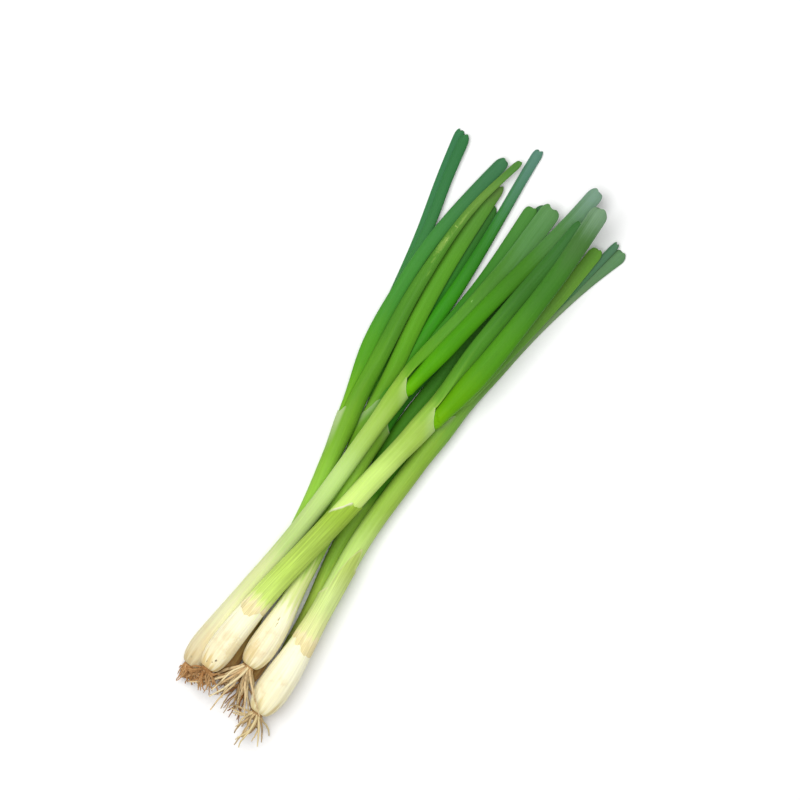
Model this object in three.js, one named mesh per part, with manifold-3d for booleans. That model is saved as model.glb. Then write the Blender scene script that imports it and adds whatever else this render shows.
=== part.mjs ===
// Spring onion bunch: seven young onions with their roots and hollow leaves, lying on a flat surface.
// Millimetres. +X runs from the roots to the leaf tips, +Y goes across to the left, +Z is up.
//
// Each onion is a shaft (a slim bulb and the rolled sheaths above it, grown as one piece), a tuft of
// roots on its base, and the leaves that leave the sheath's mouth. The places are given in plan, as
// the bunch is seen from above, and a laying rule works out how high each piece lies on those below.

import * as THREE from "three";
import { mergeVertices } from "three/addons/utils/BufferGeometryUtils.js";
import Module from "manifold-3d";

// Driving sizes.
const MIDDLE_X = 149.17; // of the plan that the paths below are given in, under the bunch's middle
const MIDDLE_Y = 16.32;
const CLEARANCE = 0.4; // air between pieces that touch
const STATION = 3; // spacing of the cross-sections that the laying rule compares
const SMOOTH_STATIONS = 3; // stations on either side that a height is averaged over
const GROUND_SHARE = 0.9; // of its half height that a piece on the ground keeps, above a flat spot

const SHAFT_BEND = 420; // smallest radius that a shaft bends to
const SHAFT_SIDES = 12;
const BULB_RINGS = 8;
const STEM_RINGS = 7;
const BASE_RADIUS = 3.4; // flat root end of every bulb
const BULB_WIDEST = 0.85; // distance of the bulb's widest place from the root end, over its width
const BULB_TAPER = 2.6; // length of the usual taper from bulb to stem, over the bulb's width
const SHEATH_LIFT = 0.5; // how far an outer sheath stands off the skin under it
const MOUTH_FLARE = 26; // length over which the sheath widens to its mouth
const MOUTH_HEIGHT = 0.8; // over the mouth's width
const MOUTH_WALL = 0.8;
const MOUTH_DEPTH = 4.5;
const MOUTH_FILL = 0.9; // share of the mouth's height that its leaves take up
const MOUTH_SLANT = 3; // the sheath runs this much further on its left side

const LEAF_BEND = 330;
const LEAF_SIDES = 8;
const LEAF_RINGS = 12;
const LEAF_GROWTH = 38; // length over which a leaf reaches its full width
const LEAF_GUIDED = 9.5; // length past the mouth over which its sheath guides a leaf
const LEAF_BUTT = 0.8; // width of a leaf's hidden end over its width there
const LEAF_ROUNDNESS = 0.5; // thickness over width of a full leaf
const LEAF_HOLLOW = 6; // depth of the open end
const TIP_BORE = 0.5; // width of the open end over the leaf's width there
const LEAF_ANCHOR = 34; // length over which a leaf settles from its mouth on to what is under it
const TIP_THICKNESS = 2.6;
const TIP_CORNER = 1.5; // length over which the cut end rounds in
const TIP_ROUND = 0.86; // width left at the cut end

const PLATE_THICKNESS = 2.2; // corky disc that the roots grow from
const ROOT_SEGMENTS = 4;
const ROOT_SIDES = 4;
const ROOT_DROOP = 0.16;
const ROOT_TIP = 0.5; // thickness at a root's end over its thickness at the plate
const ROOT_CIRCLE = 0.75; // radius that the roots start within, over the plate's
const GOLDEN_ANGLE = Math.PI * (3 - Math.sqrt(5));

const BULB_CREAM = 0xe9e4c2;
const ROOT_TAN = 0xb08a52;
const LEAF_GREEN = 0x4f9a2a;

// The onions from the lowest to the topmost, as they are laid down. A shaft's path and a leaf's path
// are points [x, y] in plan. A leaf's width is given [at its widest, at the tip], and a sheath, where
// an outer one ends below the mouth, [from, to] in distance from the root end.
const ONIONS = [
  {
    number: 7,
    shaft: {
      path: [[14, -22], [27, -20.2], [40, -18], [50, -16.4], [60, -14.1], [70, -11.7], [88, -8.2], [118, -5]],
      bulb: 10.6,
      stem: 9.2,
      mouth: 12,
    },
    roots: { seed: 71, count: 8, length: 17, thickness: 1.2, splay: 0.6, lean: -0.1 },
    leaves: [
      {
        path: [[129, -1.5], [150, 2], [201.1, 1.2], [226.9, 0.2], [256.5, -2.5], [304.5, -14.1]],
        width: [9.6, 8],
      },
      {
        path: [[129, -7], [150, -8.2], [175.2, -9.5], [223.4, -9.5], [253, -10], [295, -10.6]],
        width: [9, 8],
      },
    ],
  },
  {
    number: 6,
    shaft: {
      path: [
        [-4, -9.6],
        [20, -7.6],
        [50, -2.6],
        [80, 3.7],
        [105, 9.5],
        [122, 13.4],
        [147.7, 18.7],
        [160, 20.8],
      ],
      bulb: 13,
      stem: 9.4,
      mouth: 12.5,
    },
    roots: { seed: 61, count: 11, length: 24, thickness: 1.3, splay: 0.7, lean: 0 },
    leaves: [
      {
        path: [[171, 24.2], [185, 28.2], [204, 30], [224.1, 29.6], [251.4, 30.4], [276.2, 32.7], [293, 33.8]],
        width: [9, 8],
      },
      {
        path: [[171.3, 18.6], [204.8, 22.1], [248.7, 23.6], [283, 26.3], [315.4, 29.8], [333.7, 31.3]],
        width: [9.6, 5.8],
      },
      {
        path: [
          [171.4, 21.4],
          [195.5, 27.4],
          [215, 31],
          [230, 33.2],
          [245, 35],
          [260, 36.1],
          [275, 36.9],
          [291.2, 37.5],
          [304.5, 38.4],
        ],
        width: [10.4, 8.4],
      },
    ],
  },
  {
    number: 5,
    shaft: {
      path: [
        [-7, 4],
        [12, 5.6],
        [38.9, 9.6],
        [84.8, 16.2],
        [100, 18.9],
        [113.4, 22.2],
        [130, 26],
        [151.1, 31.2],
      ],
      bulb: 13,
      stem: 10.4,
      mouth: 13,
    },
    roots: { seed: 51, count: 8, length: 16, thickness: 1.2, splay: 0.6, lean: 0.1 },
    leaves: [
      {
        path: [[157.9, 35.1], [207.9, 47.2], [251.8, 56.6], [273.6, 62.4], [289.1, 67], [316.8, 73.7]],
        width: [6.6, 6],
      },
      {
        path: [[158.6, 34.2], [185.5, 40], [223.5, 49.6], [263.5, 56.5], [290.4, 64.3], [316.2, 69.8]],
        width: [6.8, 6],
      },
      {
        path: [[154.3, 35.3], [175.7, 41.1], [201.9, 47], [252.6, 50.6], [284.7, 48.3], [317.7, 43.9]],
        width: [8.8, 7.4],
      },
      {
        path: [
          [157, 29.7],
          [190.2, 36.4],
          [222.6, 41.3],
          [257.1, 43.5],
          [284.5, 43.3],
          [307, 39.6],
          [321.7, 36.4],
        ],
        width: [10.6, 5.4],
      },
    ],
  },
  {
    number: 3,
    shaft: {
      path: [
        [4.8, -6.2],
        [15, -6.5],
        [30, -6],
        [48.2, -3.9],
        [60, -2.4],
        [70, -0.7],
        [80, 0.7],
        [88, 1.9],
        [110, 5.7],
        [133, 9.7],
        [150, 11.8],
        [160.4, 13],
      ],
      bulb: 16.4,
      stem: 9.8,
      mouth: 12.5,
    },
    roots: { seed: 31, count: 13, length: 36, thickness: 1.5, splay: 0.75, lean: 0.02 },
    leaves: [
      { path: [[173, 12.6], [201, 9.5], [227, 6.5], [256.5, 3.5], [295, 2]], width: [9.6, 8] },
      { path: [[173, 13], [197.8, 11], [237.3, 10.4], [276.3, 10.4], [309.5, 10.3]], width: [9.6, 8] },
    ],
  },
  {
    number: 4,
    shaft: {
      path: [
        [-13.4, -26.4],
        [1.3, -25.2],
        [17, -24.9],
        [32.3, -23.4],
        [45, -22.1],
        [60, -20.5],
        [70, -19.2],
        [80, -18],
        [90, -16.7],
        [110, -15.5],
        [145.5, -16.1],
        [175.4, -16],
      ],
      bulb: 19.4,
      stem: 11.6,
      mouth: 14,
      sheath: [44, 87],
    },
    roots: { seed: 41, count: 12, length: 24, thickness: 1.4, splay: 0.8, lean: 0.05 },
    leaves: [
      {
        path: [[190, -18.6], [215.3, -21.2], [243.9, -24.3], [270.9, -29.1], [290, -33.2], [314, -40.3]],
        width: [9, 8],
      },
      {
        path: [[201.9, -18.4], [242, -23.2], [283.2, -30], [302.7, -32.7], [316.8, -34.9]],
        width: [5, 4.4],
      },
      {
        path: [[199.4, -16.8], [228.4, -20], [251.1, -23.4], [277.5, -26.4], [307.8, -28]],
        width: [9.4, 8],
      },
    ],
  },
  {
    number: 2,
    shaft: {
      path: [
        [-14.5, 21],
        [-3.3, 20.4],
        [13, 20],
        [33, 20],
        [42, 19.3],
        [53, 18],
        [65, 16.9],
        [80.6, 15.9],
        [100, 15.1],
        [134.2, 15.3],
        [179.8, 15.5],
      ],
      bulb: 15.8,
      stem: 10.2,
      mouth: 12,
    },
    roots: { seed: 21, count: 12, length: 17, thickness: 1.1, splay: 1.1, lean: 0.05 },
    leaves: [
      { path: [[182.8, 15.1], [206.9, 15.3], [232, 14.2], [255.5, 13.3], [305.1, 15.4]], width: [9, 8] },
      {
        path: [[195.9, 14.3], [232.9, 10], [253.8, 7.9], [271.6, 6.3], [311.4, 6.2]],
        width: [12, 12],
      },
      {
        path: [
          [190, 11.2],
          [200, 9.8],
          [215, 7.9],
          [230, 6],
          [245, 3.8],
          [260, 1.5],
          [274.4, -1],
          [300, -5.2],
          [320, -7.6],
          [333.8, -8.7],
        ],
        width: [9.8, 7.4],
      },
    ],
  },
  {
    number: 1,
    shaft: {
      path: [
        [-9.6, 11.2],
        [5, 11.7],
        [22, 11.1],
        [32, 10.4],
        [45, 9.5],
        [60, 7.6],
        [80, 4.7],
        [100, 2.2],
        [127.1, -0.8],
        [160, -5.1],
        [173.5, -7.1],
      ],
      bulb: 16,
      taper: 3.6,
      stem: 12.2,
      mouth: 14,
      sheath: [38, 112],
    },
    roots: { seed: 11, count: 13, length: 20, thickness: 1.1, splay: 1, lean: -0.05 },
    leaves: [
      { path: [[183, -4.1], [201.8, -9.1], [218.8, -10.6], [267, -10.2], [299.8, -10.6]], width: [9, 8] },
      {
        path: [
          [188.2, -3.6],
          [204.5, -4.6],
          [225.6, -5.4],
          [251.6, -7],
          [279.3, -9.6],
          [301, -11.5],
          [313, -11.8],
        ],
        width: [9.4, 8.4],
      },
      {
        path: [
          [187.6, -10.8],
          [202.2, -13.8],
          [220, -15.6],
          [240, -16.5],
          [260, -17.4],
          [280, -18],
          [300, -17.5],
          [326, -16.2],
        ],
        width: [12.4, 10.4],
      },
    ],
  },
];

const wasm = await Module();
wasm.setup();

const clamp = THREE.MathUtils.clamp;
const lerp = THREE.MathUtils.lerp;

// 0 to 1, easing in and out, as x goes from 0 to 1.
function ease(x) {
  const t = clamp(x, 0, 1);
  return t * t * (3 - 2 * t);
}

// A smooth line through hand-placed points: y at any x, straight on past either end.
function smoothLine(points) {
  const last = points.length - 1;
  const slopes = points.map((_, i) => {
    const before = points[Math.max(i - 1, 0)];
    const after = points[Math.min(i + 1, last)];
    return (after[1] - before[1]) / (after[0] - before[0]);
  });
  return (x) => {
    if (x <= points[0][0]) return points[0][1] + (x - points[0][0]) * slopes[0];
    if (x >= points[last][0]) return points[last][1] + (x - points[last][0]) * slopes[last];
    const i = points.findIndex((p) => p[0] > x) - 1;
    const span = points[i + 1][0] - points[i][0];
    const t = (x - points[i][0]) / span;
    const rise = ease(t);
    const lead = t * (1 - t) * (1 - t) * span * slopes[i];
    const follow = t * t * (t - 1) * span * slopes[i + 1];
    return lerp(points[i][1], points[i + 1][1], rise) + lead + follow;
  };
}

// One shaft or leaf as a bent line with a half width and half height at each x, not yet laid.
function strand(path, halfWidth, halfHeight, bend) {
  const from = path[0][0];
  const to = path[path.length - 1][0];
  return {
    from,
    to,
    length: to - from,
    across: smoothLine(path),
    halfWidth: (x) => halfWidth(clamp(x, from, to) - from),
    halfHeight: (x) => halfHeight(clamp(x, from, to) - from),
    bend,
    first: Math.floor(from / STATION),
    last: Math.ceil(to / STATION),
    heights: [],
  };
}

// The height of a laid strand's middle at any x.
function heightAt(line, x) {
  const place = clamp(x / STATION - line.first, 0, line.heights.length - 1);
  const i = Math.min(Math.floor(place), line.heights.length - 2);
  return lerp(line.heights[i], line.heights[i + 1], place - i);
}

function middleOf(line, x) {
  return new THREE.Vector3(x, line.across(x), heightAt(line, x));
}

// The laying rule: a strand lies on the ground, pressed a little flat, or on the strands under it. It
// bends no tighter than its stiffness lets it, and a leaf starts at its place in the sheath's mouth.
function lay(line, laid, shaft = null, startHeight = 0) {
  const needed = [];
  for (let i = line.first; i <= line.last; i += 1) {
    const x = i * STATION;
    let lowest = line.halfHeight(x) * GROUND_SHARE;
    for (const below of laid) {
      if (below === shaft || i < below.first || i > below.last) continue;
      const reach = line.halfWidth(x) + below.halfWidth(x) + CLEARANCE;
      const apart = Math.abs(line.across(x) - below.across(x)) / reach;
      if (apart >= 1) continue;
      const rise = line.halfHeight(x) + below.halfHeight(x) + CLEARANCE;
      lowest = Math.max(lowest, heightAt(below, x) + rise * Math.sqrt(1 - apart * apart));
    }
    needed.push(lowest);
  }
  const stiff = needed.map((_, i) =>
    Math.max(...needed.map((z, j) => z - ((i - j) * STATION) ** 2 / (2 * line.bend))),
  );
  line.heights = stiff.map((_, i) => {
    const near = stiff.slice(Math.max(i - SMOOTH_STATIONS, 0), i + SMOOTH_STATIONS + 1);
    const settled = near.reduce((sum, z) => sum + z, 0) / near.length;
    if (shaft === null) return settled;
    const run = (line.first + i) * STATION - line.from - MOUTH_DEPTH;
    return Math.max(lerp(startHeight, settled, ease(run / LEAF_ANCHOR)), run > 0 ? needed[i] : 0);
  });
  laid.push(line);
}

// A lathe profile of [radius, distance] points, turned in unit radius and bent along a strand, so that
// its radius becomes the strand's half width and half height. skew moves a ring's left side onwards.
function bentLathe(line, profile, sides, skew = () => 0) {
  const points = profile.map(([radius, distance]) => new THREE.Vector2(radius, distance));
  const geometry = new THREE.LatheGeometry(points, sides, Math.PI / sides);
  geometry.deleteAttribute("normal");
  geometry.deleteAttribute("uv");
  const place = geometry.getAttribute("position");
  for (let i = 0; i < place.count; i += 1) {
    const left = -place.getX(i);
    const up = place.getZ(i);
    const x = line.from + place.getY(i) + skew(place.getY(i)) * left;
    const middle = middleOf(line, x);
    const along = middleOf(line, x + 1).sub(middleOf(line, x - 1)).normalize();
    const side = new THREE.Vector3(-along.y, along.x, 0).normalize();
    const rise = along.clone().cross(side);
    middle.addScaledVector(side, left * line.halfWidth(x));
    middle.addScaledVector(rise, up * line.halfHeight(x));
    place.setXYZ(i, middle.x, middle.y, Math.max(middle.z, 0));
  }
  return mergeVertices(geometry, 1e-4);
}

// Distances along a body, closer together near its start.
function spacedFrom(start, end, steps, crowding) {
  return Array.from({ length: steps + 1 }, (_, i) => lerp(start, end, (i / steps) ** crowding));
}

// Radius of a shaft at a distance from its root end: round base, bulb, and a long taper to the stem.
function shaftRadius(shaft, distance) {
  const widest = shaft.bulb * BULB_WIDEST;
  const bulb = shaft.bulb / 2;
  const stem = shaft.stem / 2;
  if (distance < widest) {
    return BASE_RADIUS + (bulb - BASE_RADIUS) * Math.sqrt(1 - (1 - distance / widest) ** 2);
  }
  return lerp(bulb, stem, ease((distance - widest) / (shaft.bulb * (shaft.taper ?? BULB_TAPER))));
}

function shaftStrand(shaft) {
  const length = shaft.path[shaft.path.length - 1][0] - shaft.path[0][0];
  const [low, high] = shaft.sheath ?? [0, 0];
  const radius = (distance) => {
    const sheathed = distance > low && distance < high ? SHEATH_LIFT : 0;
    return shaftRadius(shaft, distance) + sheathed;
  };
  const opening = (distance) => ease((distance - length + MOUTH_FLARE) / MOUTH_FLARE);
  return strand(
    shaft.path,
    (distance) => lerp(radius(distance), shaft.mouth / 2, opening(distance)),
    (distance) => lerp(radius(distance), (shaft.mouth * MOUTH_HEIGHT) / 2, opening(distance)),
    SHAFT_BEND,
  );
}

function shaftGeometry(shaft, line) {
  const end = line.length;
  const [low, high] = shaft.sheath ?? [0, 0];
  const tapered = shaft.bulb * (BULB_WIDEST + (shaft.taper ?? BULB_TAPER));
  const bulb = spacedFrom(0, tapered, BULB_RINGS, 1.5);
  const stem = spacedFrom(tapered, end, STEM_RINGS, 1).slice(1);
  const steps = high > 0 ? [low - 0.2, low + 0.2, high - 0.2, high + 0.2] : [];
  const rings = [...bulb, ...stem, ...steps].sort((a, b) => a - b);
  const inner = 1 - (2 * MOUTH_WALL) / (shaft.mouth * MOUTH_HEIGHT);
  const profile = [
    [0, 0],
    ...rings.map((distance) => [1, distance]),
    [inner, end],
    [inner, end - MOUTH_DEPTH],
    [0, end - MOUTH_DEPTH],
  ];
  return bentLathe(line, profile, SHAFT_SIDES, (distance) => (distance >= end ? MOUTH_SLANT : 0));
}

// Half height of each of a mouth's leaves where they are packed on each other in it.
function packedHalfHeight(shaft, count) {
  const room = (shaft.mouth * MOUTH_HEIGHT - 2 * MOUTH_WALL) * MOUTH_FILL;
  return (room - (count - 1) * CLEARANCE) / (2 * count);
}

function leafStrand(onion, leaf) {
  const { shaft, leaves } = onion;
  const mouth = shaft.path[shaft.path.length - 1];
  const start = [mouth[0] - MOUTH_DEPTH + 2 * CLEARANCE, mouth[1]];
  const path = [start, ...leaf.path.filter((point) => point[0] > mouth[0] + LEAF_GUIDED)];
  const length = path[path.length - 1][0] - start[0];
  const [widest, tip] = leaf.width;
  const packed = packedHalfHeight(shaft, leaves.length);
  const atMouth = Math.min(shaft.mouth * (leaves.length > 3 ? 0.13 : 0.22), widest / 2);
  const halfWidth = (distance) => {
    const full = lerp(widest, tip, distance / length) / 2;
    return lerp(atMouth, full, ease((distance - MOUTH_DEPTH) / LEAF_GROWTH));
  };
  const halfHeight = (distance) => {
    const full = lerp(widest * LEAF_ROUNDNESS, TIP_THICKNESS, (distance / length) ** 2) / 2;
    return lerp(packed, full, ease((distance - MOUTH_DEPTH) / LEAF_GROWTH));
  };
  return strand(path, halfWidth, halfHeight, LEAF_BEND);
}

function leafGeometry(line) {
  const end = line.length;
  const rings = spacedFrom(1, end - TIP_CORNER, LEAF_RINGS, 1.15);
  const profile = [
    [0, 0],
    [LEAF_BUTT, 0],
    ...rings.map((distance) => [1, distance]),
    [TIP_ROUND, end],
    [TIP_BORE, end],
    [TIP_BORE * 0.8, end - LEAF_HOLLOW],
    [0, end - LEAF_HOLLOW],
  ];
  return bentLathe(line, profile, LEAF_SIDES);
}

function solidOf(geometry) {
  return new wasm.Manifold(
    new wasm.Mesh({
      numProp: 3,
      vertProperties: geometry.getAttribute("position").array,
      triVerts: new Uint32Array(geometry.index.array),
    }),
  );
}

function geometryOf(solid) {
  const mesh = solid.getMesh();
  return new THREE.BufferGeometry()
    .setAttribute("position", new THREE.BufferAttribute(mesh.vertProperties, 3))
    .setIndex(new THREE.BufferAttribute(mesh.triVerts, 1));
}

// Repeatable random numbers from 0 to 1.
function drawFrom(seed) {
  let state = seed;
  return () => {
    state = (state * 16807) % 2147483647;
    return state / 2147483647;
  };
}

// Whether a root may pass a point: above the ground and clear of the other onions and their roots.
function isClear(point, radius, onion, shafts, rootPoints) {
  for (const { onion: other, line } of shafts) {
    if (other === onion || point.x < line.from - 1) continue;
    const wide = line.halfWidth(point.x) + radius + CLEARANCE;
    const high = line.halfHeight(point.x) + radius + CLEARANCE;
    const middle = middleOf(line, point.x);
    if (Math.hypot((point.y - middle.y) / wide, (point.z - middle.z) / high) < 1) return false;
  }
  const others = rootPoints.filter((other) => other.number !== onion.number);
  return others.every((other) => other.place.distanceTo(point) > other.radius + radius + CLEARANCE);
}

// A thin root through its points, tapering to a blunt tip.
function rootGeometry(points, radius) {
  const curve = new THREE.CatmullRomCurve3(points);
  const last = points.length - 1;
  const thickness = (t) => lerp(radius, radius * ROOT_TIP, t);
  const profile = points.map((_, i) => new THREE.Vector2(thickness(i / last), i / last));
  const closed = [new THREE.Vector2(0, 0), ...profile, new THREE.Vector2(0, 1)];
  const geometry = new THREE.LatheGeometry(closed, ROOT_SIDES);
  geometry.deleteAttribute("normal");
  geometry.deleteAttribute("uv");
  const place = geometry.getAttribute("position");
  for (let i = 0; i < place.count; i += 1) {
    const middle = curve.getPoint(place.getY(i));
    const along = curve.getTangent(place.getY(i));
    const side = new THREE.Vector3(-along.y, along.x, 0).normalize();
    const rise = along.clone().cross(side);
    middle.addScaledVector(side, -place.getX(i)).addScaledVector(rise, place.getZ(i));
    place.setXYZ(i, middle.x, middle.y, Math.max(middle.z, 0));
  }
  return mergeVertices(geometry, 1e-4);
}

// The tuft under one bulb: a corky plate with roots that leave it in a golden-angle spiral, droop, and
// stop short of the neighbouring onions.
function rootTuft(onion, line, shafts, rootPoints) {
  const { seed, count, length, thickness, splay, lean } = onion.roots;
  const draw = drawFrom(seed);
  const base = middleOf(line, line.from);
  const along = middleOf(line, line.from + 1).sub(base).normalize();
  const side = new THREE.Vector3(-along.y, along.x, 0).normalize();
  const rise = along.clone().cross(side);
  const plate = {
    from: line.from - CLEARANCE - PLATE_THICKNESS,
    across: line.across,
    first: line.first - 2,
    heights: [base.z, base.z],
    halfWidth: () => BASE_RADIUS,
    halfHeight: () => BASE_RADIUS,
  };
  const disc = [
    [0, 0],
    [0.7, 0],
    [1, PLATE_THICKNESS / 2],
    [0.9, PLATE_THICKNESS],
    [0, PLATE_THICKNESS],
  ];
  let tuft = solidOf(bentLathe(plate, disc, SHAFT_SIDES));
  const heart = base.clone().addScaledVector(along, -CLEARANCE - PLATE_THICKNESS / 2);
  const grown = [{ number: onion.number, place: heart, radius: BASE_RADIUS }];
  for (let i = 0; i < count; i += 1) {
    const turn = i * GOLDEN_ANGLE;
    const out = Math.sqrt((i + 0.5) / count);
    const radial = side.clone().multiplyScalar(Math.cos(turn)).addScaledVector(rise, Math.sin(turn));
    const start = heart.clone().addScaledVector(radial, out * BASE_RADIUS * ROOT_CIRCLE);
    const heading = along.clone().negate().addScaledVector(radial, out * splay * (0.6 + 0.8 * draw()));
    heading.addScaledVector(side, lean + 0.3 * (draw() - 0.5));
    const step = (length * (0.6 + 0.4 * draw())) / ROOT_SEGMENTS;
    const points = [start];
    while (points.length <= ROOT_SEGMENTS) {
      heading.z -= ROOT_DROOP * (0.5 + draw());
      heading.normalize();
      const next = points[points.length - 1].clone().addScaledVector(heading, step);
      next.z = Math.max(next.z, thickness * 0.5);
      const halfway = next.clone().lerp(points[points.length - 1], 0.5);
      const clear = [halfway, next].every((p) => isClear(p, thickness / 2, onion, shafts, rootPoints));
      if (!clear) break;
      points.push(next);
    }
    if (points.length < 3) continue;
    tuft = tuft.add(solidOf(rootGeometry(points, thickness / 2)));
    const curve = new THREE.CatmullRomCurve3(points);
    for (const place of curve.getSpacedPoints(Math.ceil(length / thickness))) {
      grown.push({ number: onion.number, place, radius: thickness / 2 });
    }
  }
  rootPoints.push(...grown);
  return geometryOf(tuft);
}

function piece(name, geometry, color, roughness) {
  const material = new THREE.MeshStandardMaterial({ color, roughness, metalness: 0 });
  const mesh = new THREE.Mesh(geometry, material);
  mesh.name = name;
  return mesh;
}

const bunch = new THREE.Group();
const laid = [];
const shafts = [];
for (const onion of ONIONS) {
  const line = shaftStrand(onion.shaft);
  lay(line, laid);
  shafts.push({ onion, line });
  bunch.add(piece(`onion_${onion.number}_shaft`, shaftGeometry(onion.shaft, line), BULB_CREAM, 0.35));
  const packed = packedHalfHeight(onion.shaft, onion.leaves.length);
  onion.leaves.forEach((leaf, i) => {
    const leafLine = leafStrand(onion, leaf);
    const step = i - (onion.leaves.length - 1) / 2;
    lay(leafLine, laid, line, heightAt(line, line.to) + step * (2 * packed + CLEARANCE));
    bunch.add(piece(`onion_${onion.number}_leaf_${i + 1}`, leafGeometry(leafLine), LEAF_GREEN, 0.5));
  });
}
const rootPoints = [];
for (const { onion, line } of [...shafts].reverse()) {
  bunch.add(piece(`onion_${onion.number}_roots`, rootTuft(onion, line, shafts, rootPoints), ROOT_TAN, 0.8));
}
bunch.position.set(-MIDDLE_X, -MIDDLE_Y, 0);

export default bunch;
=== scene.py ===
# Spring onion bunch: seven young onions lying on each other on a pale surface, seen from straight above.
# Metres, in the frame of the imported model. +X runs from the roots to the leaf tips, +Y to the left.

import functools
import math
import random

import bmesh
import bpy
import numpy as np
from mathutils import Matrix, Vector


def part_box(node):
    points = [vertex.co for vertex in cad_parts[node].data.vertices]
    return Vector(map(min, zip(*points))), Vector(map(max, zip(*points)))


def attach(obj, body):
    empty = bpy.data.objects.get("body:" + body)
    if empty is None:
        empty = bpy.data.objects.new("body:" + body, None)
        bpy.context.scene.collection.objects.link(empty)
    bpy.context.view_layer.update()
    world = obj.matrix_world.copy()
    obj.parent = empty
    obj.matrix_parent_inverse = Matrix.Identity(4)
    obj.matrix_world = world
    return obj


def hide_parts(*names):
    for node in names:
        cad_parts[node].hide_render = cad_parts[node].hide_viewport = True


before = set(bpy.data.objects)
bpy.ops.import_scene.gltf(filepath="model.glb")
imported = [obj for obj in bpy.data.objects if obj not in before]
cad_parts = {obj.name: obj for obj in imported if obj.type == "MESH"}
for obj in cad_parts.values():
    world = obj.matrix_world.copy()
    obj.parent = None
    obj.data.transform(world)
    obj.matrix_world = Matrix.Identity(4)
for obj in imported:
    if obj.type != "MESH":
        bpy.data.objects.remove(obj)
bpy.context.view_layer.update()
MM = 0.001


# The thin onion, lowest in the bunch. It lies on the surface under all the others, so only its stem
# shows, in the gap beside the largest onion. A spring onion is one bulb whose leaves are rolled into
# each other as sheaths, and each sheath opens at its mouth into a hollow blade.
STATION = 3 * MM
LINE_MARGIN = 6 * MM
SMOOTH_STATIONS = 3


def ease(x):
    """0 to 1, easing in and out, as x goes from 0 to 1."""
    t = min(max(x, 0.0), 1.0)
    return t * t * (3 - 2 * t)


def mix(a, b, t):
    return a + (b - a) * t


class MiddleLine:
    """The middle of a long CAD piece at any x, read from its cross-sections and smoothed."""

    def __init__(self, node):
        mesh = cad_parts[node].data
        corners = np.array([v.co for v in mesh.vertices])
        edges = corners[np.array([e.vertices[:] for e in mesh.edges])]
        low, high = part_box(node)
        self.start, self.end = low[0], high[0]
        self.first = low[0] + LINE_MARGIN
        stations = np.arange(self.first, high[0] - LINE_MARGIN, STATION)
        middles = np.array([self.section_middle(edges, x) for x in stations])
        reach = SMOOTH_STATIONS
        padded = np.pad(middles, ((reach, reach), (0, 0)), mode="reflect", reflect_type="odd")
        smooth = sum(padded[i : i + len(middles)] for i in range(2 * reach + 1)) / (2 * reach + 1)
        slopes = np.gradient(smooth, axis=0)
        self.points = [Vector(p) for p in smooth]
        self.slopes = [Vector(s) for s in slopes]

    @staticmethod
    def section_middle(edges, x):
        a, b = edges[:, 0], edges[:, 1]
        crossing = (a[:, 0] - x) * (b[:, 0] - x) < 0
        a, b = a[crossing], b[crossing]
        cuts = a + (b - a) * ((x - a[:, 0]) / (b[:, 0] - a[:, 0]))[:, None]
        return (cuts.min(axis=0) + cuts.max(axis=0)) / 2

    def middle(self, x):
        place = (x - self.first) / STATION
        i = min(max(int(place), 0), len(self.points) - 2)
        t = place - i
        if t < 0:
            return self.points[i] + self.slopes[i] * t
        if t > 1:
            return self.points[i + 1] + self.slopes[i + 1] * (t - 1)
        return between(self.points[i], self.slopes[i], self.points[i + 1], self.slopes[i + 1], t)

    @functools.cache
    def axes(self, x):
        """The middle at x, and the directions to its left side and to its top."""
        along = (self.middle(x + MM) - self.middle(x - MM)).normalized()
        side = Vector((-along.y, along.x, 0)).normalized()
        return self.middle(x), side, along.cross(side)

    def point(self, x, left, up):
        middle, side, rise = self.axes(x)
        return middle + side * left + rise * up


def between(start, start_slope, end, end_slope, t):
    """A smooth curve from start to end with these slopes, at t from 0 to 1."""
    lead = start_slope * (t * (1 - t) * (1 - t))
    follow = end_slope * (t * t * (t - 1))
    return mix(start, end, ease(t)) + lead + follow


class BladeLine(MiddleLine):
    """A leaf's middle line, led out of its place in the sheath's mouth in one smooth bend."""

    def __init__(self, node, shaft, leave, join, left, up, lean):
        super().__init__(node)
        self.leave, self.join = leave, join
        run = join - leave
        self.first_place = shaft.line.point(leave, left, up)
        ahead = shaft.line.point(leave + MM, left + lean * MM, up)
        self.first_slope = (ahead - self.first_place) * (run / MM)
        self.last_place = super().middle(join)
        self.last_slope = (super().middle(join + MM) - super().middle(join - MM)) * (run / (2 * MM))

    def middle(self, x):
        if x >= self.join:
            return super().middle(x)
        t = (x - self.leave) / (self.join - self.leave)
        if t < 0:
            return self.first_place + self.first_slope * t
        return between(self.first_place, self.first_slope, self.last_place, self.last_slope, t)


SIDES = 32
GRAIN_LENGTH = 300 * MM


def extrude_ring(bm, ring):
    """The next ring of a tube, extruded from the last one and in the same order."""
    edges = [bm.edges.get(pair) for pair in zip(ring, ring[1:] + ring[:1])]
    made = bmesh.ops.extrude_edge_only(bm, edges=edges)["geom"]
    fresh = {v for v in made if isinstance(v, bmesh.types.BMVert)}
    return [next(e.other_vert(v) for e in v.link_edges if e.other_vert(v) in fresh) for v in ring]


def new_growth():
    """An empty mesh whose points carry the skin's grain and how far along the growth they are."""
    bm = bmesh.new()
    bm.verts.layers.float_vector.new("grain")
    bm.verts.layers.float_vector.new("growth")
    return bm


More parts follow.
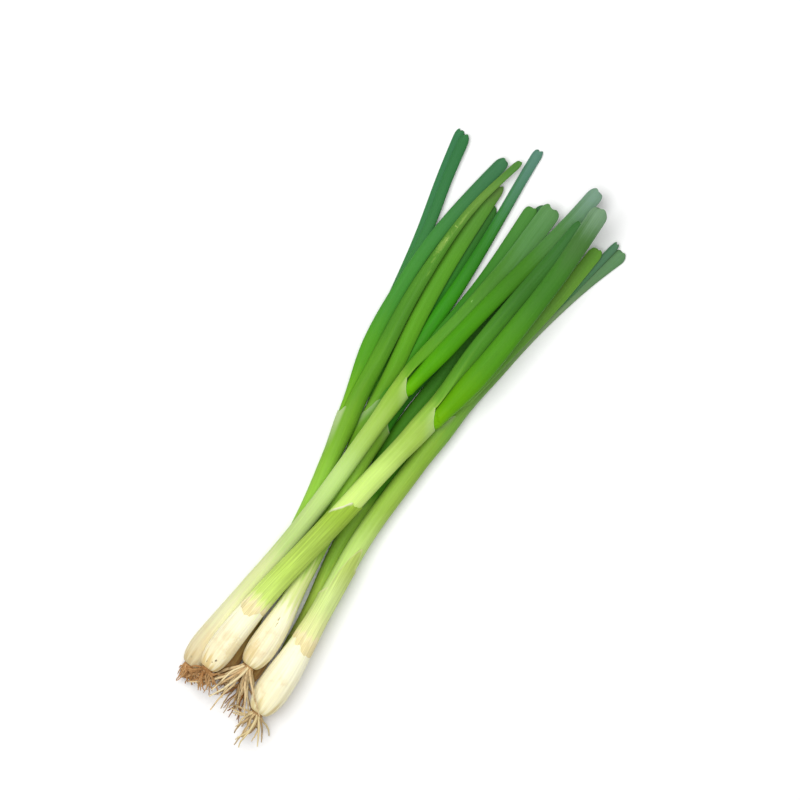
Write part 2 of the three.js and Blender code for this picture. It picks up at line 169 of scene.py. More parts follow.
def tube(bm, rings, place, sides=SIDES):
    """A closed tube extruded ring by ring. place(ring, angle) gives a point, its share and its tint."""
    grain = bm.verts.layers.float_vector["grain"]
    growth = bm.verts.layers.float_vector["growth"]
    first = ring = list(bmesh.ops.create_circle(bm, segments=sides, radius=1)["verts"])
    for number, station in enumerate(rings):
        if number:
            ring = extrude_ring(bm, ring)
        for i, v in enumerate(ring):
            angle = 2 * math.pi * i / sides
            v.co, share, tint = place(station, angle)
            v.co.z = max(v.co.z, 0)
            v[grain] = (math.cos(angle), math.sin(angle), v.co.x / GRAIN_LENGTH)
            v[growth] = (share, tint, 0)
    for end in (first, ring):
        rim = [bm.edges.get(pair) for pair in zip(end, end[1:] + end[:1])]
        bmesh.ops.contextual_create(bm, geom=rim)


def colour(text):
    """A colour written as six hexadecimal digits, as the shader's linear numbers."""
    parts = [int(text[i : i + 2], 16) / 255 for i in (0, 2, 4)]
    return [p / 12.92 if p <= 0.04045 else ((p + 0.055) / 1.055) ** 2.4 for p in parts] + [1]


class Finish:
    """A plant surface in the making: a shader, the patterns that it reads, and its colour so far."""

    def __init__(self, name, rough):
        self.material = bpy.data.materials.new(name)
        self.material.use_nodes = True
        self.nodes, self.links = self.material.node_tree.nodes, self.material.node_tree.links
        self.shader = self.nodes["Principled BSDF"]
        self.shader.inputs["Roughness"].default_value = rough
        self.shader.inputs["Specular IOR Level"].default_value = 0.05
        self.object_place = self.node("ShaderNodeTexCoord").outputs["Object"]

    def node(self, kind, inputs=(), **settings):
        """A new node with these settings, and with these inputs set, or linked where they are outputs."""
        made = self.nodes.new(kind)
        for name, value in settings.items():
            setattr(made, name, value)
        for name, value in dict(inputs).items():
            if isinstance(value, bpy.types.NodeSocket):
                self.links.new(value, made.inputs[name])
            else:
                made.inputs[name].default_value = value
        return made

    def attribute(self, name):
        return self.node("ShaderNodeAttribute", attribute_name=name).outputs["Vector"]

    def noise(self, place, scale, detail=3, rough=0.5):
        return self.node(
            "ShaderNodeTexNoise", {"Vector": place, "Scale": scale, "Detail": detail, "Roughness": rough}
        ).outputs["Fac"]

    def ranged(self, value, low, high, to_low=0.0, to_high=1.0):
        inputs = {"Value": value, "From Min": low, "From Max": high, "To Min": to_low, "To Max": to_high}
        return self.node("ShaderNodeMapRange", inputs).outputs["Result"]

    def sum(self, a, b, operation="ADD"):
        return self.node("ShaderNodeMath", {0: a, 1: b}, operation=operation).outputs[0]

    def vector(self, operation, a, b):
        return self.node("ShaderNodeVectorMath", {0: a, 1: b}, operation=operation).outputs["Vector"]

    def blend(self, base, shade, share):
        """The base colour with another one, or a ramp's colour, over it by a share."""
        over = colour(shade) if isinstance(shade, str) else shade
        inputs = {"Factor": share, "A": base, "B": over}
        return self.node("ShaderNodeMix", inputs, data_type="RGBA").outputs["Result"]

    def ramp(self, value, stops):
        made = self.node("ShaderNodeValToRGB", {"Fac": value})
        keys = made.color_ramp.elements
        made.color_ramp.interpolation = "EASE"
        keys[0].position, keys[0].color = stops[0][0], colour(stops[0][1])
        keys[1].position, keys[1].color = stops[-1][0], colour(stops[-1][1])
        for position, shade in stops[1:-1]:
            keys.new(position).color = colour(shade)
        return made.outputs["Color"]

    def scaled(self, base, share):
        made = self.node("ShaderNodeVectorMath", {0: base, "Scale": share}, operation="SCALE")
        return made.outputs["Vector"]

    def relief(self, height, strength, depth):
        made = self.node("ShaderNodeBump", {"Height": height, "Strength": strength, "Distance": depth})
        self.links.new(made.outputs["Normal"], self.shader.inputs["Normal"])

    def finished(self, base):
        self.links.new(base, self.shader.inputs["Base Color"])
        return self.material


def spots(finish, base, marks):
    """Small marks in the skin, each with its plan place, half sizes along and across, shade and strength."""
    # A mark can stand for painted shade as well as for a mark in the skin.
    ragged = finish.ranged(finish.noise(finish.object_place, 900, 2), 0.3, 0.7, -0.35, 0.35)
    for (x, y), (along, across), shade, strength in marks:
        offset = finish.vector("SUBTRACT", finish.object_place, (x * MM, y * MM, 0))
        shrunk = finish.vector("MULTIPLY", offset, (1 / (along * MM), 1 / (across * MM), 0))
        reach = finish.node("ShaderNodeVectorMath", {0: shrunk}, operation="LENGTH").outputs["Value"]
        edge = finish.sum(reach, ragged)
        base = finish.blend(base, shade, finish.ranged(edge, 0.6, 1.1, strength, 0.0))
    return base


def skin(name, stops, veins=0.1, rough=0.48, film="dfe6c0", stain="d9c08c", stained=None, marks=()):
    """The plant's skin: its colour along the growth, fine lengthwise veins, mottling, and pale dry film.

    stained gives the share of the length and the strength of a brown stain from the root end on.
    """
    finish = Finish(name, rough)
    finish.shader.inputs["Subsurface Weight"].default_value = 0.12
    finish.shader.inputs["Subsurface Radius"].default_value = (0.9, 1.0, 0.4)
    finish.shader.inputs["Subsurface Scale"].default_value = 1.2 * MM
    split = finish.node("ShaderNodeSeparateXYZ", {0: finish.attribute("growth")})
    along, tint = split.outputs["X"], split.outputs["Y"]
    grain = finish.attribute("grain")

    mottle = finish.noise(finish.object_place, 70)
    vein = finish.noise(grain, 9, 4, 0.7)
    streak = finish.noise(grain, 2.2, 2)
    shift = finish.sum(finish.ranged(mottle, 0, 1, -0.02, 0.02), finish.ranged(streak, 0.3, 0.7, -0.03, 0.03))
    base = finish.ramp(finish.sum(along, shift), stops)
    base = finish.scaled(base, finish.ranged(vein, 0.3, 0.7, 1 - veins, 1 + veins))
    base = finish.scaled(base, finish.ranged(streak, 0.3, 0.7, 0.95, 1.05))
    if stained:
        length, strength = stained
        low = finish.ranged(along, length * 0.75, length, 1, 0)
        cloud = finish.ranged(finish.noise(finish.object_place, 130, 4, 0.6), 0.5, 0.66, 0, strength)
        base = finish.blend(base, stain, finish.sum(low, cloud, "MULTIPLY"))
    base = finish.blend(base, film, tint)
    if marks:
        base = spots(finish, base, marks)
    finish.relief(vein, 0.35, 0.25 * MM)
    return finish.finished(base)


SHARP_ANGLE = 50


def add_piece(bm, name, material, slot, *nodes):
    """The mesh as a piece of the bunch, which stands for these CAD nodes."""
    bmesh.ops.recalc_face_normals(bm, faces=bm.faces)
    mesh = bpy.data.meshes.new(name)
    bm.to_mesh(mesh)
    bm.free()
    mesh.shade_smooth()
    mesh.set_sharp_from_angle(angle=math.radians(SHARP_ANGLE))
    mesh.materials.append(material)
    piece = bpy.data.objects.new(name, mesh)
    bpy.context.scene.collection.objects.link(piece)
    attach(piece, "root")
    if nodes:
        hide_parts(*nodes)


def spaced(start, end, spacing):
    count = max(2, round((end - start) / spacing))
    return [mix(start, end, i / count) for i in range(count + 1)]


BASE_RADIUS = 3.4 * MM
BULB_WIDEST = 0.85
MOUTH_FLARE = 26 * MM
MOUTH_HEIGHT = 0.42
RIM_SAG = 1.7 * MM
RIM_WALL = 0.5 * MM
RIM_EDGE = 0.9 * MM
RIM_BEND = 25 * MM
INSIDE = 0.91
LET_GO = 9 * MM
POCKET = 4 * MM
OLD_JOIN = 44 * MM
OLD_GROWTH = 40 * MM


class Shaft:
    """Sizes of one onion's bulb and sheaths. The young leaf leaves it on side 1, the left, or -1, the right.

    rim is the lowest place of the sheath's mouth in plan, and rim_run how far the mouth runs on from it to
    the fork, which lies fork half widths to the young side.
    """

    def __init__(self, number, bulb, stem, mouth, rim, young=-1, fork=-0.17, rim_run=9, taper=2.6,
                 film=(11, 0.2)):
        self.name = f"onion_{number}"
        self.line = MiddleLine(f"{self.name}_shaft")
        self.bulb, self.stem, self.mouth = bulb * MM, stem * MM, mouth * MM
        self.young, self.fork, self.rim_run, self.taper = young, fork, rim_run * MM, taper * self.bulb
        self.film_length, self.film_strength = film[0] * MM, film[1]
        self.start = self.line.start
        self.rim = rim * MM
        self.wide = self.mouth / 2
        self.high = self.mouth * MOUTH_HEIGHT

    def radius(self, x):
        distance = max(x - self.start, 0)
        widest = BULB_WIDEST * self.bulb
        if distance < widest:
            swell = math.sqrt(1 - (1 - distance / widest) ** 2)
            return mix(BASE_RADIUS, self.bulb / 2, swell)
        return mix(self.bulb / 2, self.stem / 2, ease((distance - widest) / self.taper))

    def half_size(self, x):
        opening = ease((x - self.rim + MOUTH_FLARE) / MOUTH_FLARE)
        radius = self.radius(x)
        return mix(radius, self.wide, opening), mix(radius, self.high, opening)

    def on_young_side(self, angle):
        """From -1 on the old leaf's side to 1 on the young leaf's."""
        return self.young * math.cos(angle)

    def rim_offset(self, angle):
        """How far the rim lies past its lowest place: an oblique cut that sags to the bulb."""
        run = min((1 - self.on_young_side(angle)) / (1 - self.fork), 1)
        return self.rim_run * run - RIM_SAG * math.sin(math.pi * run)

    def film(self, x, angle):
        """How dry and pale the sheath is towards its rim."""
        to_rim = self.rim + self.rim_offset(angle) - x
        edge = ease(1 - to_rim / RIM_EDGE) * 0.5
        dry = ease(1 - to_rim / self.film_length) * self.film_strength
        return max(edge, dry) * ease((self.on_young_side(angle) - self.fork + 0.25) / 0.3)

    def kept_inside(self, point, x):
        """The place of a packed leaf's point, within the sheath's wall as far as the sheath covers it."""
        middle, side, rise = self.line.axes(x)
        wide, high = self.half_size(min(x, self.rim))
        left, up = (point - middle).dot(side) / wide, (point - middle).dot(rise) / high
        past = x - self.rim - self.rim_offset(math.atan2(up, left))
        room = mix(INSIDE, 2, ease(past / LET_GO)) / max(math.hypot(left, up), 0.01)
        return point if room >= 1 else self.line.point(x, left * wide * room, up * high * room)


def leaf_profile(angle, roof, roof_at):
    """A leaf's outline at an angle, in half widths and half heights. roof makes a soft ridge at roof_at."""
    left, up = math.cos(angle), math.sin(angle)
    if up > 0 and roof:
        reach = 1 - roof_at if left > roof_at else 1 + roof_at
        up = mix(up, 1.05 * (1 - abs(left - roof_at) / reach), roof)
    return left, up


SWAY = 0.03
SWAY_LENGTH = 17 * MM
THINNEST = 2 * MM
TIP_CORNER = 4.5 * MM
TIP_WIDTH_LEFT = 0.52
TIP_THICKNESS = 0.3


class Leaf:
    """Sizes of one blade: widths at its widest and at its tip, its roundness, and a ridge or roll."""

    def __init__(self, shaft, number, width, roundness=0.55, roof=0.0, roof_at=0.0, roll=0.0, lobes=0.5,
                 lean=0.0):
        self.node = f"{shaft.name}_leaf_{number}"
        self.widest, self.tip = width[0] * MM, width[1] * MM
        self.roundness, self.roof, self.roof_at = roundness, roof, roof_at
        self.roll, self.lobes, self.lean = math.radians(roll), lobes * MM, lean
        self.start = shaft.rim
        self.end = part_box(self.node)[1][0]
        self.phase = random.Random(self.node).uniform(0, 6)

    def leave(self, shaft, start, run, left, up):
        """Lead the blade out of a place in the mouth, given from the shaft's middle."""
        self.line = BladeLine(self.node, shaft, start, start + run, left, up, self.lean)

    def section(self, x, angle):
        """A point of the blade's outline, from its middle line. The cut end has round corners."""
        share = (x - self.start) / (self.end - self.start)
        into = min(max((x - self.end + TIP_CORNER) / TIP_CORNER, 0), 1)
        rounding = 1 - (1 - TIP_WIDTH_LEFT) * (1 - math.sqrt(1 - into * into))
        sway = 1 + SWAY * math.sin(x / SWAY_LENGTH + self.phase)
        wide = mix(self.widest, self.tip, ease(share)) / 2 * rounding * sway
        thick = mix(self.widest * self.roundness, self.tip * TIP_THICKNESS, share * share)
        thick = max(thick, THINNEST) / 2
        left, up = leaf_profile(angle, self.roof, self.roof_at)
        left, up = left * wide, up * thick
        cosine, sine = math.cos(self.roll * share), math.sin(self.roll * share)
        return Vector((left * cosine - up * sine, left * sine + up * cosine))

    def lobe(self, x, angle):
        """How far the soft, uneven cut end runs on at an angle."""
        into = min(max((x - self.end + 2 * TIP_CORNER) / (2 * TIP_CORNER), 0), 1)
        wave = math.sin(2 * angle + self.phase) + 0.5 * math.sin(3 * angle + 2 * self.phase)
        return into * self.lobes * wave


TIP_RINGS = [6, 4.8, 3.6, 2.7, 1.9, 1.2, 0.7, 0.3, 0.1, 0]
TIP_WALL = 0.7
TIP_DEPTH = 7 * MM


def tip_rings(end):
    """The rings of a blade's open end, as (x, shrink): round the corners, over the wall and back inside."""
    outside = [(end - d * MM, 1.0) for d in TIP_RINGS]
    return outside + [(end - 0.15 * MM, 0.85), (end - 0.7 * MM, TIP_WALL), (end - TIP_DEPTH, TIP_WALL * 0.9)]


STAINED = 28 * MM


def grow_shaft(shaft, leaf, stops, **finish):
    """The bulb, its rolled sheaths and the oldest blade, which grow as one: the young side ends in a rim."""
    rim, run = shaft.rim, shaft.rim_run
    middle = shaft.young * shaft.wide * (shaft.fork - 1) / 2
    leaf.leave(shaft, rim + run, OLD_JOIN, middle, 0)
    round_base = [shaft.start + d * MM for d in (0, 0.15, 0.5, 1, 1.7, 2.6, 3.7, 5)]
    bulb = spaced(shaft.start + 6.5 * MM, shaft.start + 60 * MM, 2 * MM)
    stem = spaced(shaft.start + 62 * MM, rim - 8 * MM, 3 * MM)
    collar = spaced(rim - 7 * MM, rim - 1.2 * MM, 1 * MM) + [rim - 0.5 * MM, rim]
    sheath = [(x, "sheath") for x in round_base + bulb + stem + collar]
    mouth = [(0.1 * MM, "lip"), (0.25 * MM, "pocket"), (0.4 * MM, "floor"), (0.6 * MM, "face")]
    blade_start = spaced(rim + run + 1 * MM, rim + run + 12 * MM, 1.4 * MM)
    blade = spaced(rim + run + 14 * MM, leaf.end - 7 * MM, 3 * MM)
    blade_rings = [(x, "blade") for x in blade_start + blade]
    rings = sheath + mouth + blade_rings + tip_rings(leaf.end)
    length = leaf.end - shaft.start

    def share(x):
        return (x - shaft.start) / length

    def place(ring, angle):
        x, part = ring
        young = shaft.on_young_side(angle)
        if part == "sheath":
            x += shaft.rim_offset(angle) * ease((x - rim + RIM_BEND) / RIM_BEND)
            wide, high = shaft.half_size(min(x, rim))
            point = shaft.line.point(x, wide * math.cos(angle), high * math.sin(angle))
            return point, share(x), shaft.film(x, angle)
        if part in ("lip", "pocket", "floor", "face") and young <= shaft.fork:
            x += rim + run
            left, up = shaft.wide * math.cos(angle), shaft.high * math.sin(angle)
            return shaft.line.point(x, left, up), share(x), 0
        if part in ("lip", "pocket"):
            x = rim + shaft.rim_offset(angle) - (POCKET if part == "pocket" else 0)
            inside = 1 - RIM_WALL / shaft.high
            left, up = shaft.wide * inside * math.cos(angle), shaft.high * inside * math.sin(angle)
            return shaft.line.point(x, left, up), share(rim), 0.5 if part == "lip" else 0
        if part in ("floor", "face"):
            x = rim + shaft.rim_offset(angle) - POCKET if part == "floor" else rim + run + x
            fork = shaft.young * shaft.wide * shaft.fork
            return shaft.line.point(x, fork, shaft.high * math.sin(angle) * 0.9), share(x), 0
        shrink = 1 if part == "blade" else part
        grown = ease((x - rim - run) / OLD_GROWTH)
        cut = min(young, shaft.fork)
        halved = Vector((shaft.wide * shaft.young * cut - middle, shaft.high * math.sin(angle)))
        left, up = mix(halved, leaf.section(x, angle), grown) * shrink
        point = leaf.line.point(x, left, up)
        point.x += leaf.lobe(x, angle)
        return point, share(x), 0

    bm = new_growth()
    tube(bm, rings, place)
    finish.setdefault("veins", 0.1)
    finish.setdefault("rough", 0.42)
    finish["stained"] = (STAINED / length, finish.pop("stain_strength", 0.4))
    material = skin(f"{shaft.name} skin", [(at * MM / length, shade) for at, shade in stops], **finish)
    add_piece(bm, f"{shaft.name}_sheath", material, "shaft", f"{shaft.name}_shaft", leaf.node)


HIDDEN_SHARE = 0.35
PACKED_EDGE = 0.83
PACKED_REACH = 1.07
YOUNG_DEPTH = 9 * MM
YOUNG_JOIN = 46 * MM
YOUNG_GROWTH = 38 * MM


def grow_leaf(shaft, leaf, stops, hidden=False, **finish):
    """A younger leaf, which fills the mouth on the young side, or comes out low in it and hidden."""
    start = shaft.rim - YOUNG_DEPTH
    if hidden:
        leaf.leave(shaft, start, YOUNG_JOIN, 0, -HIDDEN_SHARE * shaft.high)
        inside = Vector((HIDDEN_SHARE * shaft.wide, HIDDEN_SHARE * shaft.high))
    else:
        middle = (shaft.fork + PACKED_EDGE) / 2
        leaf.leave(shaft, start, YOUNG_JOIN, middle * shaft.young * shaft.wide, 0.04 * shaft.high)
        tall = 0.9 * math.sqrt(1 - middle * middle)
        inside = Vector((shaft.wide * (PACKED_REACH - shaft.fork) / 2, shaft.high * tall))
    close = spaced(start, shaft.rim + 14 * MM, 1.5 * MM)
    outside = spaced(shaft.rim + 16 * MM, leaf.end - 7 * MM, 3 * MM)
    rings = [(x, 1.0) for x in close + outside] + tip_rings(leaf.end)
    length = leaf.end - shaft.rim

    def place(ring, angle):
        x, shrink = ring
        packed = Vector((inside.x * math.cos(angle), inside.y * math.sin(angle)))
        left, up = mix(packed, leaf.section(x, angle), ease((x - shaft.rim) / YOUNG_GROWTH)) * shrink
        point = leaf.line.point(x, left, up)
        if x < shaft.rim + 2 * shaft.rim_run:
            point = shaft.kept_inside(point, x)
        point.x += leaf.lobe(x, angle)
        return point, (x - shaft.rim) / length, 0

    bm = new_growth()
    tube(bm, rings, place)
    finish.setdefault("veins", 0.07)
    material = skin(f"{leaf.node} skin", stops, **finish)
    add_piece(bm, leaf.node.replace("leaf", "blade"), material, "leaf", leaf.node)


ROOT_STEPS = 10
ROOT_SIDES = 6
PLATE_RINGS = [(0.6, 0.25), (0, 0.8), (-0.7, 1.0), (-1.5, 0.9), (-2.1, 0.55)]


def root_skin(name, pale, brown):
    """Dry root: pale or brown from root to root, in lengthwise fibres, darker where it is dirty."""
    finish = Finish(name, 0.75)
    split = finish.node("ShaderNodeSeparateXYZ", {0: finish.attribute("growth")})
    fibre = finish.noise(finish.attribute("grain"), 6, 3, 0.6)
    dirt = finish.noise(finish.object_place, 260, 4, 0.6)
    base = finish.blend(colour(pale), brown, split.outputs["Y"])
    base = finish.blend(base, "5e3c20", finish.ranged(dirt, 0.54, 0.72, 0, 0.6))
    base = finish.scaled(base, finish.ranged(fibre, 0.3, 0.7, 0.82, 1.12))
    finish.relief(dirt, 0.5, 0.3 * MM)
    return finish.finished(base)


def grow_roots(shaft, count, length, thickness, pale="e0cf9f", brown="9a6a3c", browned=0.5, spread=0.9,
               lean=0.0, curl=0.16, droop=0.1):
    """The corky plate under the bulb, and its tuft of roots, which droop on to the surface and curl."""
    draw = random.Random(f"{shaft.name} roots")
    heart, side, rise = shaft.line.axes(shaft.start)
    along = side.cross(rise)
    bm = new_growth()

    def plate(ring, angle):
        distance, size = ring
        reach = BASE_RADIUS * size * (1 + 0.08 * math.sin(5 * angle + distance))
        point = heart + along * (distance * MM) + (side * math.cos(angle) + rise * math.sin(angle)) * reach
        return point, 0, 0.75

    tube(bm, PLATE_RINGS, plate, sides=20)
    for number in range(count):
        turn = number * math.pi * (3 - math.sqrt(5))
        out = math.sqrt((number + 0.5) / count)
        radial = side * math.cos(turn) + rise * math.sin(turn)
        sideways = side * (lean + draw.uniform(-0.2, 0.2))
        heading = radial * (out * spread * draw.uniform(0.6, 1.3)) - along + sideways
        heading.normalize()
        points = [heart - along * (1 * MM) + radial * (out * BASE_RADIUS * 0.85)]
        radius = thickness / 2 * MM * draw.uniform(0.75, 1.15)
        step = length * MM * draw.uniform(0.45, 1.0) / ROOT_STEPS
        for _ in range(ROOT_STEPS):
            turning = Vector((draw.gauss(0, curl), draw.gauss(0, curl), draw.gauss(0, curl) - droop))
            heading = (heading + turning).normalized()
            onward = points[-1] + heading * step
            if onward.z < radius:
                onward.z = radius
                heading.z = abs(heading.z) * 0.2
            points.append(onward)
        tint = min(max(draw.gauss(browned, 0.25), 0), 1)

        def root(i, angle):
            ahead = (points[min(i + 1, ROOT_STEPS)] - points[max(i - 1, 0)]).normalized()
            across = ahead.cross(Vector((0.3, 0.2, 1))).normalized()
            reach = radius * mix(1, 0.45, (i / ROOT_STEPS) ** 2)
            ring = across * math.cos(angle) + across.cross(ahead) * math.sin(angle)
            return points[i] + ring * reach, i / ROOT_STEPS, tint

        tube(bm, range(ROOT_STEPS + 1), root, sides=ROOT_SIDES)
    material = root_skin(f"{shaft.name} roots", pale, brown)
    add_piece(bm, f"{shaft.name}_root_tuft", material, "roots", f"{shaft.name}_roots")


thin = Shaft(7, bulb=10.6, stem=9.2, mouth=12, rim=-37, young=1, fork=0, rim_run=5)
# Its few short roots are browned almost all through: painted shade for the dark gap between the middle and
# right bulb.
grow_roots(thin, 7, 6, 0.9, browned=0.9)
# The dark olive of the stem's first 18 mm is painted shade of the same gap, not the bulb's own colour.
grow_shaft(
    thin,
    Leaf(thin, 2, (9, 8)),
    [(0, "7c8446"), (18, "8b9a44"), (45, "9cb84a"), (70, "84ac3c"), (95, "7fa838"), (110, "4c8c20"),
     (240, "3c7234")],
)
grow_leaf(thin, Leaf(thin, 1, (9.6, 8)), [(0, "57962a"), (0.2, "4c8c20"), (0.5, "3f8024"), (1, "3c7234")])


# The middle onion of the lower layer. Its bulb is hidden under the others, its stem shows in slits, and
# three of its leaves come up between the upper onions on the left half of the bunch.
low = Shaft(6, bulb=13, stem=9.4, mouth=12.5, rim=7, young=1, fork=0.1, rim_run=12, film=(11, 0.25))
grow_roots(low, 26, 26, 1.0, browned=0.75)
grow_shaft(
    low,
    Leaf(low, 2, (9.6, 5.8)),
    [(0, "a27a48"), (24, "b09558"), (60, "8fb445"), (110, "70a02c"), (150, "6a9a28"), (175, "478c1c"),
     (232, "388c18"), (273, "347c24"), (338, "55806e")],
)
grow_leaf(low, Leaf(low, 1, (9, 8), lean=0.3), [(0, "4f9624"), (0.4, "2b7a1e"), (1, "356a29")], hidden=True)
grow_leaf(
    low,
    Leaf(low, 3, (10.2, 8.4), roof=0.35, roof_at=0.2),
    [(0, "74a536"), (0.12, "649c26"), (0.3, "5f9e24"), (0.6, "589628"), (0.88, "558a32"), (1, "587a38")],
)


# The far left onion. Its stem comes out under the upper ones and carries four leaves, the outermost
# thin and blue-green, the last one bright and creased, with pale scars where it was bent.
far = Shaft(5, bulb=13, stem=10.4, mouth=13, rim=1.9, young=1, fork=0.6, rim_run=3.5, film=(27, 0.4))
grow_roots(far, 16, 16, 0.9, browned=0.7)
grow_shaft(
    far,
    Leaf(far, 4, (10.6, 4.4), roof=0.45, roof_at=-0.25, roll=-20),
    [(0, "a27a48"), (24, "b09558"), (60, "9cbc50"), (110, "8fc043"), (150, "72a42c"), (180, "5b9424"),
     (220, "4e8628"), (260, "52882c"), (300, "668f3c"), (329, "4e8038")],
    marks=[((110, 28.2), (7.5, 1.6), "a3c060", 0.35), ((113.6, 27.7), (2.4, 0.3), "bcd07a", 0.5),
           ((122.6, 27.9), (0.4, 1.2), "b4cc74", 0.45), ((92, 25), (2.4, 0.4), "8ab450", 0.35),
           ((128, 27), (5, 0.7), "9dbd5e", 0.3), ((100, 27.2), (3, 0.5), "94b858", 0.3)],
)
grow_leaf(far, Leaf(far, 1, (6.6, 6)), [(0, "438435"), (1, "38754a")], hidden=True)
grow_leaf(far, Leaf(far, 2, (6.8, 6)), [(0, "468838"), (1, "347040")], hidden=True)
grow_leaf(
    far,
    Leaf(far, 3, (8.8, 7.4), roof=0.2, roof_at=0.3),
    [(0, "72ac24"), (0.2, "529622"), (0.45, "438832"), (1, "3d724a")],
)


# The middle onion of the upper layer, with the longest roots. Its white bulb shows between the front
# and the right onion, and its leaves are hidden under theirs.
middle = Shaft(3, bulb=16.4, stem=9.8, mouth=12.5, rim=6, rim_run=12, film=(12, 0.1))
grow_roots(middle, 22, 34, 1.6, pale="ead9ad", brown="b88a52", browned=0.3, spread=0.75, lean=-0.05,
           curl=0.09, droop=0.06)
grow_shaft(
    middle,
    Leaf(middle, 2, (9.6, 8)),
    [(0, "dccb98"), (6, "efe5c0"), (34, "f6f2cf"), (48, "d3dc92"), (70, "98bc4c"), (110, "84b03a"),
     (150, "729e30"), (180, "37801f"), (230, "33742c"), (306, "447446")],
    marks=[((-116.4, -21.8), (1.7, 0.3), "a89a5c", 0.8), ((-113.1, -21), (1.4, 0.35), "a89a5c", 0.8),
           ((-136.6, -18.5), (8, 1.6), "e0cc98", 0.7)],
)
grow_leaf(middle, Leaf(middle, 1, (9.6, 8)), [(0, "367f1f"), (0.4, "2e6c26"), (1, "386c39")])


# The right onion, the largest. Its outermost skin has dried away from the bulb and is still closed round
# the stem as a second, veined sheath, which ends halfway up in a point.
def torn_end(points):
    """The edge of a torn sheath: x at an angle, through points of (degrees, x in plan), round and closed."""
    angles, places = zip(*points)

    def edge(angle):
        wave = 0.25 * math.sin(9 * angle) + 0.15 * math.sin(17 * angle + 1)
        return (float(np.interp(math.degrees(angle), angles, places)) + wave) * MM

    return edge


SHEATH_LIFT = 0.5 * MM
SHEATH_SINK = 0.4 * MM


def grow_outer_sheath(shaft, low_edge, top_edge, stops, peel, **finish):
    """The dry outer sheath round a stem, thin and open at both ends. peel(angle) is its pale torn edge."""
    steps = [(s / 30, min(0.2 + s / 7, 1)) for s in range(1, 30)]
    rings = [(0, -1.0), (0, 0.15)] + steps + [(0.99, 1.2), (1, 1.3), (1, 0.4), (0.985, -1.0)]

    def place(ring, angle):
        share, lift = ring
        x = mix(low_edge(angle), top_edge(angle), share)
        wide, high = shaft.half_size(x)
        lifted = lift * SHEATH_LIFT if lift > 0 else lift * SHEATH_SINK
        point = shaft.line.point(x, (wide + lifted) * math.cos(angle), (high + lifted) * math.sin(angle))
        to_top = top_edge(angle) - x
        return point, (x - low_edge(0)) / (100 * MM), peel(angle) * ease(1.4 - to_top / (1.6 * MM))

    bm = new_growth()
    tube(bm, rings, place, sides=72)
    add_piece(bm, f"{shaft.name}_outer_sheath", skin(f"{shaft.name} outer sheath", stops, **finish), "shaft")


right = Shaft(4, bulb=19.4, stem=11.6, mouth=14, rim=27, young=1)
grow_roots(right, 22, 27, 1.3, browned=0.35)
grow_shaft(
    right,
    Leaf(right, 1, (9, 8), roof=0.2, roof_at=-0.3),
    [(0, "e2d29c"), (8, "f3ecc6"), (40, "f8f5d6"), (60, "d6e79c"), (100, "bcd978"), (135, "96b84a"),
     (170, "84ab3c"), (192, "74a43c"), (222, "6d9848"), (262, "84a070"), (321, "5d865a")],
)
grow_outer_sheath(
    right,
    torn_end([(0, -116.1), (50, -116.1), (62, -119.6), (82, -118.1), (100, -121.1), (120, -122.1),
              (180, -121.6), (360, -116.1)]),
    torn_end([(0, -89), (60, -83), (70, -71), (85, -64), (99, -59), (114, -55.4), (122, -55.4),
              (131, -59), (140, -66), (180, -69), (360, -89)]),
    [(0, "e6d8a2"), (0.03, "eadfae"), (0.07, "dde29c"), (0.25, "cbdd8c"), (0.5, "b0c464"), (1, "a4b858")],
    peel=lambda angle: 0.5,
    veins=0.2,
    film="d6d3a4",
)
grow_leaf(right, Leaf(right, 2, (5, 4.4)), [(0, "4f8838"), (0.5, "4a7c44"), (1, "527c5c")], hidden=True)
grow_leaf(
    right,
    Leaf(right, 3, (9.4, 8)),
    [(0, "7cae44"), (0.4, "669a3e"), (0.8, "6ea03c"), (1, "649838")],
)


# The left onion. Its smooth pale shaft forks halfway up the bunch: the old, wide blade goes on along the
# left, and a young bright leaf comes out of the mouth on the right.
left = Shaft(2, bulb=15.8, stem=10.2, mouth=12, rim=28.9, rim_run=8.5)
grow_roots(left, 64, 13, 1.1, pale="d8b482", brown="a87848", browned=0.6, spread=0.7, lean=-0.75,
           curl=0.24, droop=0.12)
grow_shaft(
    left,
    Leaf(left, 2, (12, 12), roof=0.4, roof_at=0.1, lobes=0.7),
    [(0, "ccb98c"), (8, "dbcfa8"), (35, "dddcb0"), (62, "d2d99c"), (97, "b4cc7e"), (132, "b5d47c"),
     (165, "a0c258"), (190, "8cb440"), (212, "5c9722"), (240, "55902c"), (275, "4a7f2c"), (304, "558648"),
     (337, "5c8a52")],
    veins=0.06,
    stain_strength=0.25,
    marks=[((-159.6, 6.2), (0.9, 0.6), "a89f7c", 0.7), ((93.4, -3.8), (1, 0.3), "8fbf6a", 0.7)],
)
grow_leaf(left, Leaf(left, 1, (9, 8)), [(0, "458f24"), (0.5, "387a20"), (1, "4a8238")], hidden=True)
grow_leaf(
    left,
    Leaf(left, 3, (9.8, 9.2), roundness=0.65, lean=-0.05),
    [(0, "62ab08"), (0.12, "509a0c"), (0.3, "468c12"), (0.6, "427a20"), (0.78, "4e7e40"), (1, "74947f")],
)


